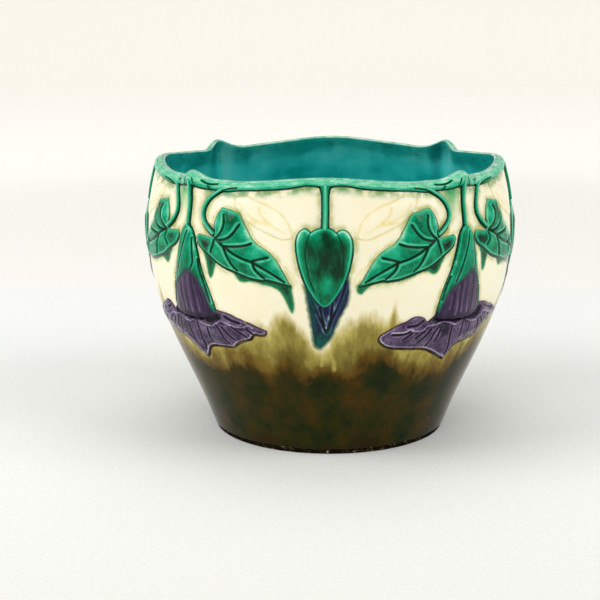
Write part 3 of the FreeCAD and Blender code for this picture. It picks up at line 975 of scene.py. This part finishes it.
# glaze that dripped from the leaves at the bud's right and left
rightDrips = [
    [(8.2, 166), (9.4, 158), (10.6, 152.4), (12.2, 151), (14.2, 153.6), (16.6, 153), (20, 149.8),
     (24.6, 147.8), (28.6, 147.6), (31.6, 146.4), (33.2, 143), (34.3, 139.8), (35.6, 140.6),
     (35.9, 144.6), (35.2, 148), (28, 153), (16, 160)],
]
leftDrips = [
    [(6.6, 168), (7.5, 160), (7.9, 153.9), (8.3, 148.8), (9.1, 146.4), (10.1, 149.1), (10.8, 154.7),
     (11.4, 161.5)],
    [(14, 158.5), (17, 153.4), (18.2, 150.4), (19.2, 147.2), (20.9, 146.3), (22.6, 147.3), (25, 146.9),
     (27, 145.6), (29, 144.8), (30.6, 143.4), (31.9, 141), (33, 136.6), (33.9, 131.3), (34.7, 126.4),
     (35.5, 124.6), (36.1, 129.5), (35.9, 136.4), (35.5, 142.6), (35, 147.4), (28, 152), (20, 156)],
]
# heights where the cream turns olive and the olive brown, by degrees from a bud, and pale runs
olive = dict(
    turn=[
        (-45, 92), (-36, 96), (-29, 102), (-26, 108), (-22, 111), (-17.9, 107), (-15, 118),
        (-11.9, 121), (-9.1, 114), (-4.9, 100), (-0.4, 96), (4.1, 111), (9.8, 119), (17.2, 120),
        (20, 122), (20.8, 130), (21.8, 122), (24, 110), (29, 103), (36, 96), (45, 92),
    ],
    brown=[
        (-45, 72), (-40.8, 75), (-26.7, 84), (-21.7, 77), (-13.8, 80), (-7.3, 72), (-0.5, 80),
        (6.9, 76), (13, 88), (23.6, 82), (40.3, 70), (45, 72),
    ],
    runs=[
        [(1.4, 97), (1.9, 90), (2.7, 84), (3, 78)],
        [(-0.9, 89), (-1.1, 82)],
    ],
)
wall = dict(
    columns=140, under=0.9, groove=4.0, grooveSpan=3.6, grooveFade=20.0,
    spot=(-21.7, 145.0), moss=(8.2, 184.5), mossReach=5.0, wash=(-4.4, 2.4), washDrop=(8.0, 17.0),
    # (drop, radius) down the inside, and (radius, drop) round its corner and over the floor
    hollow=[
        (3, 133.6), (7, 134.6), (12, 136), (20, 138.2), (33.1, 140.1), (45, 141.4), (55.9, 142),
        (68, 141.9), (78.6, 141.3), (90, 139.4), (101.3, 137.5), (124.1, 130.6), (147.2, 121.2),
        (170.7, 110.5), (198.5, 98.8),
    ],
    floor=[
        (98.8, 196.5), (97.6, 202), (95.2, 206.4), (91.6, 209.6), (86.6, 211.3), (80, 211.5),
        (55, 211.5), (28, 211.5), (0, 211.5),
    ],
)
mirror = np.array([-1, 1])


def bothSides(outline):
    # beside the bud at its right and, mirrored, at its left
    return [outline, outline * mirror]


def aroundFlower(outline):
    # at both ends of the front quarter
    return [outline, outline - np.array([90 * mmPerDegree, 0])]


def closedLines(lines):
    return [smooth(flatPlace(line, side=-1), closed=True) for line in lines]


greenShapes = (
    bothSides(leafOutline) + bothSides(strip(stalk)[1]) + [strip(budStem)[1], budOutline]
    + aroundFlower(strip(flowerStem)[1]) + aroundFlower(calyxOutline)
)
purpleShapes = aroundFlower(skirtOutline) + aroundFlower(tubeOutline)
dripShapes = closedLines(rightDrips) + [line * mirror for line in closedLines(leftDrips)]
paleLines = smoothAll(paleLeaf["veins"] + [paleLeaf["low"], paleLeaf["far"]], 0.0)


def wallFields(flat):
    # what the painter did at each place of the front quarter
    lowered = flat - np.array([0, wall["under"]])
    azimuth = flat[:, 0] / mmPerDegree
    branchGap = np.clip(flat[:, 1] - branchEdge(azimuth), -9, 14)
    mossSpots = bothSides(flatPlace([wall["moss"]], side=-1)[0])
    mossGap = np.min([np.linalg.norm(flat - spot, axis=1) for spot in mossSpots], axis=0)
    paleGap = np.minimum(
        leastDistance(flat, paleLines + [line * mirror for line in paleLines]),
        np.abs(leastSigned(flat, bothSides(paleOutline))),
    )
    height = pot["rimHeight"] - flat[:, 1]
    washAt, washSpan = wall["wash"]
    washDrop, washFade = wall["washDrop"]
    return dict(
        green=np.minimum(leastSigned(lowered, greenShapes), branchGap), branch=branchGap,
        purple=leastSigned(lowered, purpleShapes), petal=signedDistance(flat, petalsOutline),
        drip=leastSigned(flat, dripShapes), pale=np.minimum(paleGap, 8),
        moss=hump(mossGap, wall["mossReach"]),
        run=np.minimum(leastDistance(flat, smoothAll(olive["runs"], 0.0)), 8),
        low=height - curveThrough(olive["turn"], azimuth),
        brown=height - curveThrough(olive["brown"], azimuth),
        wash=hump(fromFlower(azimuth) - washAt, washSpan) * hump(flat[:, 1] - washDrop, washFade),
    )


def bodyRows():
    # (radius, drop, inside) up the outside, over the lip and down the inside to the floor
    base = pot["wall"][-1][0]
    outer = np.concatenate([
        [base, base - 0.2], np.arange(215.3, 152, -5.2), np.arange(150, 9, -1.62), [7.4, 6.0, 4.6, 3.2],
    ])
    rows = [(0.0, base, 0.0)] + [(float(wallRadius(drop)), drop, 0.0) for drop in outer]
    half = pot["lipWidth"] / 2
    for share in np.linspace(0, 1, 13):
        bend = math.pi * share
        rows.append((pot["rimRadius"] + half * math.cos(bend), pot["lipRound"] * (1 - math.sin(bend)), share))
    for drop in np.concatenate([np.arange(3, 40, 2.2), np.arange(42, 190, 6.5)]):
        rows.append((float(curveThrough(wall["hollow"], drop)), drop, 2.0))
    return rows + [(radius, drop, 2.0) for radius, drop in wall["floor"]]


def buildBody():
    azimuth = np.linspace(-flowerAxis, flowerAxis, wall["columns"] + 1)
    radius, drop, inside = (np.array(values)[:, None] for values in zip(*bodyRows()))
    # a groove in each spout, inside
    cut = wall["groove"] * hump(fromFlower(azimuth), wall["grooveSpan"]) * hump(drop, wall["grooveFade"])
    radius = radius + (inside == 2) * cut * smoothRise(drop, 2, 9)
    flat = np.stack(np.broadcast_arrays(azimuth * mmPerDegree, drop), -1)
    fields = {key: values.reshape(flat.shape[:2]) for key, values in wallFields(flat.reshape(-1, 2)).items()}
    fields |= dict(inside=inside, spout=fromFlower(azimuth))
    return sheet("pot_body_glazed", potPoint(azimuth, radius, drop), fields)


wallTones = dict(
    cream=(252, 246, 220), deepCream=(249, 240, 206), leafLine=(241, 218, 136), rust=(112, 70, 8),
    spot=(120, 98, 34), base=(42, 28, 2), run=(196, 184, 98), glow=(206, 186, 92), outline=(0, 50, 28),
    haze=(44, 150, 88), moss=(84, 118, 40), halo=(226, 200, 96), spoutWash=(96, 182, 112),
    underBranch=(44, 150, 96), dripEdge=(150, 190, 110), petalHaze=(2, 92, 66), ochre=(196, 152, 62),
    purpleEdge=(26, 22, 22), innerBand=(0, 130, 118), stain=(20, 92, 84), spoutPaintedShade=(0, 92, 92),
    spoutPaintedLight=(104, 200, 194), lipWorn=(206, 226, 200), lipLine=(116, 128, 108),
)
oliveStops = stops((0.12, 84, 74, 22), (0.4, 112, 98, 40), (0.62, 146, 132, 62), (0.88, 192, 178, 100))
brownStops = stops(
    (0.1, 12, 24, 8), (0.34, 32, 38, 0), (0.54, 48, 42, 0), (0.74, 62, 44, 0), (0.94, 88, 62, 4),
)
dripStops = stops((0.0, 22, 132, 84), (0.4, 10, 116, 72), (0.75, 0, 82, 48), (1.0, 0, 50, 28))
tealStops = stops((0.2, 14, 166, 162), (0.5, 48, 186, 182), (0.8, 88, 204, 200))
mintStops = stops((0.2, 84, 176, 140), (0.5, 130, 204, 170), (0.8, 182, 224, 198))


def bodyGlaze():
    paint = Paint("bodyGlaze")
    shade = {key: tone(*colour) for key, colour in wallTones.items()}
    fields = "green branch purple drip pale inside low brown wash petal moss run spout".split()
    (green, branchGap, purple, drip, pale, inside, low,
     brown, wash, petal, moss, run, spout) = map(paint.value, fields)
    cloud = paint.noise(26.0, 3.0, 0.5) - 0.5
    patch = paint.noise(9.0, 3.0, 0.55, shift=4.0) - 0.5
    fine = paint.noise(2.4, 3.0, 0.6, shift=9.0) - 0.5
    streak = paint.noise(5.0, 4.0, 0.62, (1, 1, 0.16), 2.0) - 0.5
    wideStreak = paint.noise(16.0, 4.0, 0.6, (1, 1, 0.22), 6.0) - 0.5
    grain = paint.noise(2.6, 2.0, 0.6, (1, 1, 0.08), 2.0) - 0.5

    def over(colour, share, name):
        return paint.mix(share, colour, shade[name])

    # cream, yellower in patches and along the pale leaf's lines
    cream = over(shade["cream"], (cloud * 2.2 + 0.45).held(), "deepCream")
    yellow = (1.0 - pale.ramp(0.1, 1.7)) * (patch * 2.6 + 0.7).held()
    cream = over(cream, yellow * 0.72, "leafLine")

    # the lower wall: olive, rusty fringe, brown and dark green, run together downwards
    edge = low + wideStreak * 26.0 + streak * 9.0 + cloud * 10.0
    oliveShare = 1.0 - edge.ramp(-7.0, 8.0)
    oliveDepth = wideStreak * 0.9 + cloud * 0.7 + grain * 0.25 + 0.9 + low * 0.018
    fringe = brown + wideStreak * 34.0 + streak * 12.0 + cloud * 14.0
    brownShare = 1.0 - fringe.ramp(-11.0, 9.0)
    mottle = (paint.noise(24.0, 4.0, 0.55, (1, 1, 0.8), 12.0) - 0.5) * 1.9 + 0.5
    brownColour = paint.colours((mottle + grain * 0.25 + streak * 0.2).held(), brownStops)
    lower = paint.mix(brownShare, paint.colours(oliveDepth.held(), oliveStops), brownColour)
    rust = brownShare * (1.0 - brownShare) * 4.0
    lower = over(lower, rust * (streak * 1.6 + 0.5).held() * 0.75, "rust")
    degrees, drop = wall["spot"]
    centre = tuple(onWall([degrees * mmPerDegree, drop], 0))
    away = paint.add(
        "ShaderNodeVectorMath", {"operation": "DISTANCE"}, paint.spot, centre, output="Value"
    ) * 1000
    lower = over(lower, (1.0 - (away + grain * 4.0 + patch * 3.0).ramp(3.0, 12.0)) * 0.9, "spot")
    lower = over(lower, (1.0 - (brown + fine * 6.0).ramp(-78.0, -64.0)) * 0.8, "base")
    lower = over(lower, (1.0 - (run + fine * 1.6 + streak * 3.0).ramp(0.2, 3.0)) * 0.6, "run")
    colour = paint.mix(oliveShare, cream, lower)
    colour = over(colour, (oliveShare * (1.0 - oliveShare) * 3.2 * (patch + 0.6)).held() * 0.5, "glow")

    # green and purple glaze that ran from the sprigs
    hazeShare = (1.0 - (green + patch * 5.0).ramp(0.8, 6.5)) * (patch * 3.2 + cloud * 2.0 + 0.42).held()
    colour = over(colour, (1.0 - oliveShare * 0.6) * hazeShare * 0.8, "haze")
    colour = over(colour, (moss * 2.2 + patch * 1.6 - 0.35).held() * 0.8, "moss")
    greenEdge = green + fine * 0.8
    halo = greenEdge.ramp(1.2, 1.9) * (1.0 - greenEdge.ramp(2.3, 3.6))
    colour = over(colour, halo * (patch * 2.4 + 0.7).held() * 0.75, "halo")
    outside = 1.0 - inside.ramp(0.0, 0.1)
    colour = over(colour, (wash * (streak * 2.0 + 1.2)).held() * 0.85 * outside, "spoutWash")
    under = 1.0 - (branchGap + fine * 1.5).ramp(1.5, 9.0)
    colour = over(colour, under * (patch * 4.0 + 0.45).held() * 0.8, "underBranch")
    colour = over(colour, (1.0 - (drip + fine).ramp(0.0, 1.8)) * 0.45, "dripEdge")
    dripColour = paint.colours(((drip + fine * 1.5 + patch * 3.0) * -0.24).held(), dripStops)
    colour = paint.mix(1.0 - (drip + fine * 1.2).ramp(-0.9, 0.6), colour, dripColour)
    colour = over(colour, 1.0 - (green + fine * 0.9 + patch * 0.8).ramp(0.35, 1.3), "outline")
    colour = over(colour, (1.0 - (petal + patch * 4.0).ramp(0.2, 3.2)) * 0.9, "petalHaze")
    ochre = (1.0 - (purple + fine).ramp(1.4, 3.4)) * (patch * 3.0 + 0.2).held()
    colour = over(colour, ochre * 0.7, "ochre")
    colour = over(colour, (1.0 - (purple + fine * 0.8).ramp(0.6, 1.5)) * (patch + 0.9).held(), "purpleEdge")

    # inside: turquoise in waves, darker under the lip, with painted shade on one wall of each spout's groove
    # and painted light on the other
    wave = (paint.noise(40.0, 2.0, 0.5, (1, 1, 1.6), 20.0) - 0.5) * 2.0
    teal = paint.colours((wave * 0.6 + patch * 0.3 + 0.5).held(), tealStops)
    teal = over(teal, (1.0 - (branchGap + wave * 16.0 + patch * 6.0).ramp(1.0, 13.0)) * 0.7, "innerBand")
    stain = paint.noise(9.0, 4.0, 0.7, (1, 1, 2.4), 31.0).ramp(0.5, 0.66)
    teal = over(teal, inside.ramp(0.75, 0.95) * (1.0 - branchGap.ramp(-2.0, 9.0)) * stain * 0.55, "stain")
    # painted shade on one wall of each spout's groove, strongest near the lip, and painted light on the other
    # wall
    deep = 1.0 - (branchGap + patch * 4.0).ramp(2.0, 14.0) * 0.6
    paintedShade = spout.ramp(0.2, 2.4) * (1.0 - spout.ramp(3.6, 7.0)) * deep * 0.75
    teal = over(teal, paintedShade.held(), "spoutPaintedShade")
    paintedLight = spout.ramp(-6.5, -3.6) * (1.0 - spout.ramp(-2.2, 0.0)) * 0.5
    teal = over(teal, paintedLight.held(), "spoutPaintedLight")
    colour = paint.mix(inside.ramp(0.62, 0.95), colour, teal)

    # lip: mint, worn thin at its crest, with a grey line at the inner edge
    mint = paint.colours((patch * 1.6 + fine * 0.8 + 0.5).held(), mintStops)
    lipShare = inside.ramp(0.0, 0.06).most(1.0 - branchGap.ramp(-4.6, -3.4)) * (1.0 - inside.ramp(0.86, 0.97))
    colour = paint.mix(lipShare, colour, mint)
    crest = inside.ramp(0.62, 0.7) * (1.0 - inside.ramp(0.84, 0.94))
    colour = over(colour, crest * (patch * 2.4 + 0.5).held() * 0.8, "lipWorn")
    line = inside.ramp(0.5, 0.56) * (1.0 - inside.ramp(0.6, 0.66)) * (patch * 2.5 + 0.6).held()
    colour = over(colour, line * 0.6, "lipLine")

    bump = paint.bump(paint.noise(3.2, 2.0, 0.5, shift=15.0) + patch * 0.8, 0.12, 0.3)
    return paint.glaze(colour, fine * 0.05 + 0.11, bump, coat=(1.0 - oliveShare) * 0.26 + 0.02)


foot = dict(
    radius=94.8, width=9.0, height=4.5, top=96.6, waist=(95.8, 3.2), rounding=1.2, flat=4.0, columns=60,
)


def buildFoot():
    inner, rounding = foot["radius"] - foot["width"], foot["rounding"]
    section = [(foot["top"], foot["height"]), foot["waist"]]
    for bend in np.radians([0, 22, 45, 68, 90]):
        section.append((foot["radius"] - rounding * (1 - math.cos(bend)), rounding * (1 - math.sin(bend))))
    section += [(inner + foot["flat"], 0), (inner, 0), (inner, foot["height"])]
    radius, height = np.array(section).T[..., None]
    angle = np.radians(np.linspace(-flowerAxis, flowerAxis, foot["columns"] + 1))
    places = np.stack(np.broadcast_arrays(radius * np.sin(angle), -radius * np.cos(angle), height), -1)
    return sheet("foot_ring_glazed", places / 1000, {}, closed=True)


def footGlaze():
    paint = Paint("footGlaze")
    speck = paint.noise(2.2, 3.0, 0.7, shift=5.0)
    patch = paint.noise(9.0, 3.0, 0.6, shift=2.0)
    colour = paint.colours(patch, stops((0.3, 12, 12, 8), (0.55, 26, 22, 10), (0.75, 52, 46, 30)))
    bare = (speck + patch * 0.3).ramp(0.78, 0.84)
    colour = paint.mix(bare, colour, tone(206, 200, 180))
    return paint.glaze(colour, bare * 0.4 + 0.35, paint.bump(speck, 0.2, 0.4), shine=0.0, coat=0.0)


def ochreEdge(paint, colour, edge):
    # ochre where the purple glaze ends
    worn = (1.0 - edge.ramp(0.6, 1.8)) * paint.noise(9.0, 2.0, 0.5, shift=11.0).ramp(0.58, 0.66)
    return paint.mix(worn * 0.8, colour, tone(186, 146, 70))


def inkWash(paint, colour, edge):
    # blue-green at the left and the tip and indigo at the right ran into the petals
    ink = paint.noise(6.0, 3.0, 0.6, (1, 1, 0.5), 17.0) - 0.5
    across = paint.value("across") + ink * 7.0
    left = 1.0 - across.ramp(-4.4, -1.4)
    tip = (paint.value("low") + ink * 1.6).held()
    pooled = paint.mix((ink * 3.0 + 0.45).held(), tone(2, 40, 46), tone(0, 92, 74))
    colour = paint.mix(left.most(tip) * 0.85, colour, pooled)
    right = across.ramp(2.0, 4.4)
    return paint.mix(right * (ink * 3.0 + 0.5).held() * 0.6, colour, tone(26, 28, 66))


def purpleHem(paint, colour, edge):
    # the calyx's hem, where green and purple ran together
    share = (paint.value("fade") * 1.3 + (paint.noise(3.0, 2.0, 0.5, shift=5.0) - 0.5) * 1.2).held()
    return paint.mix(share * 0.8, colour, tone(34, 52, 56))


bodyMaterial = bodyGlaze()
leafMaterial = sprigGlaze("greenGlaze", greenStops, 0.62, 0.36)
budMaterial = sprigGlaze("budGlaze", greenStops, 0.66, 0.3, (1, 1, 0.4))
stemMaterial = sprigGlaze("stemGlaze", greenStops, 0.62, 0.2, (1, 1, 0.3))
calyxMaterial = sprigGlaze("calyxGlaze", greenStops, 0.6, 0.3, (1, 1, 0.4), purpleHem)
skirtMaterial = sprigGlaze("purpleGlaze", purpleStops, 0.62, 0.56, tint=ochreEdge)
tubeMaterial = sprigGlaze("tubeGlaze", purpleStops, 0.72, 0.3, (1, 1, 0.25))
petalMaterial = sprigGlaze("petalGlaze", petalStops, 0.66, 0.34, (1, 1, 0.4), inkWash)
print("glazes mixed")

leafNodes = [f"leaf_{quarter}_{which}" for quarter in quarterNames for which in "ab"]
roundThePot(buildBody(), bodyMaterial, ["pot_body"])
roundThePot(buildFoot(), footGlaze(), ["foot_ring"])
roundThePot(buildBranch(), branchGlaze(), ["rim_branch"])
roundThePot(makeLeaf(), leafMaterial, leafNodes, mirrored=True)
roundThePot(makeStrip("leaf_stalk", stalk), stemMaterial, ["leaf_stalks"], mirrored=True)
roundThePot(makeStrip("flower_stem", flowerStem), stemMaterial, ["flower_stems"])
roundThePot(makeStrip("bud_stem", budStem), stemMaterial, ["bud_stems"])
roundThePot(makeBud(), budMaterial, nodesOf("bud_", quarterNames))
roundThePot(makePetals(), petalMaterial, nodesOf("bud_petals_", quarterNames))
roundThePot(makeTube(), tubeMaterial, nodesOf("flower_tube_", cornerNames))
roundThePot(makeCalyx(), calyxMaterial, nodesOf("flower_calyx_", cornerNames))
roundThePot(makeSkirt(), skirtMaterial, nodesOf("flower_skirt_", cornerNames))
roundThePot(makePaleLeaf(), bodyMaterial, ["pale_leaves"], mirrored=True)
print("pot and sprigs set")

# floor and backdrop in one round sheet that curves up all about the pot, in metres
studio = dict(radius=1.8, bend=0.4, height=0.46, columns=96, seam=0.527, seamBlur=0.03)


def buildStudio():
    flat, bend = studio["radius"] - studio["bend"], studio["bend"]
    profile = [(0.0, 0.0), (0.3, 0.0), (0.8, 0.0), (flat, 0.0)]
    for turn in np.radians(np.linspace(8, 90, 10)):
        profile.append((flat + bend * math.sin(turn), bend * (1 - math.cos(turn))))
    profile.append((studio["radius"], studio["height"]))
    radius, height = np.array(profile).T[..., None]
    angle = np.linspace(0, 2 * math.pi, studio["columns"] + 1)
    places = np.stack(np.broadcast_arrays(radius * np.cos(angle), radius * np.sin(angle), height), -1)
    backdrop = sheet("studio", places, {})
    weld(backdrop.data)
    paint = Paint("studioPaper")
    depth = paint.add("ShaderNodeSeparateXYZ", {}, paint.spot, output="Y")
    height = paint.add("ShaderNodeSeparateXYZ", {}, paint.spot, output="Z")
    seam, blur = studio["seam"], studio["seamBlur"]
    # painted shade: the floor darker towards the front
    colour = paint.mix(depth.ramp(-0.5, 0.0), tone(240, 240, 235), tone(252, 253, 250))
    colour = paint.mix(depth.ramp(seam - blur, seam + blur), colour, tone(255, 253, 248))
    colour = paint.mix(height.ramp(0.0, 0.16), colour, tone(243, 239, 232))
    grain = paint.noise(3.0, 4.0, 0.7) - 0.5
    speck = (grain * 1.1 + 0.08).held() * (1.0 - height.ramp(0.0, 0.02) * 0.7)
    paint.join(paint.mix(speck, colour, tone(214, 214, 206)), paint.shader.inputs["Base Color"])
    paint.shader.inputs["Roughness"].default_value = 0.85
    backdrop.data.materials.append(paint.material)


buildStudio()

# distance and height in metres, angles in radians; around turns the view about the pot's axis
camera = dict(
    lens=90.77, sensor=36.0, distance=1.232, height=0.37866,
    pitch=0.2199, yaw=0.0197, roll=-0.0035, around=0.0209,
)


def buildCamera():
    data = bpy.data.cameras.new("camera")
    data.sensor_width = camera["sensor"]
    data.lens = camera["lens"]
    data.clip_start, data.clip_end = 0.01, 50
    viewer = bpy.data.objects.new("camera", data)
    turn = Matrix.Rotation
    viewer.matrix_world = (
        turn(camera["around"], 4, "Z") @ Matrix.Translation((0, -camera["distance"], camera["height"]))
        @ turn(camera["yaw"], 4, "Z") @ turn(math.pi / 2 - camera["pitch"], 4, "X")
        @ turn(camera["roll"], 4, "Z")
    )
    bpy.context.scene.collection.objects.link(viewer)
    bpy.context.scene.camera = viewer


buildCamera()

lamps = [
    dict(name="left_window", place=(-2.6, -0.9, 2.0), size=(2.2, 1.8), power=50),
    dict(name="right_window", place=(2.6, -1.1, 2.2), size=(2.2, 1.8), power=42),
    dict(name="front", place=(-0.4, -2.9, 2.4), size=(2.2, 1.2), power=17),
    dict(name="overhead", place=(0.0, 0.9, 2.9), size=(2.6, 2.0), power=16),
]
lampAim = Vector((0, 0, 0.12))
for lamp in lamps:
    data = bpy.data.lights.new(lamp["name"], "AREA")
    data.shape = "RECTANGLE"
    data.size, data.size_y = lamp["size"]
    data.energy = lamp["power"]
    light = bpy.data.objects.new(lamp["name"], data)
    light.location = lamp["place"]
    light.rotation_euler = (lampAim - light.location).to_track_quat("-Z", "Y").to_euler()
    bpy.context.scene.collection.objects.link(light)

world = bpy.data.worlds.new("studio")
bpy.context.scene.world = world
world.use_nodes = True
air = world.node_tree.nodes["Background"]
air.inputs["Color"].default_value = (1.0, 1.0, 0.985, 1)
air.inputs["Strength"].default_value = 0.4
bpy.context.scene.view_settings.view_transform = "Standard"
print("studio lit")
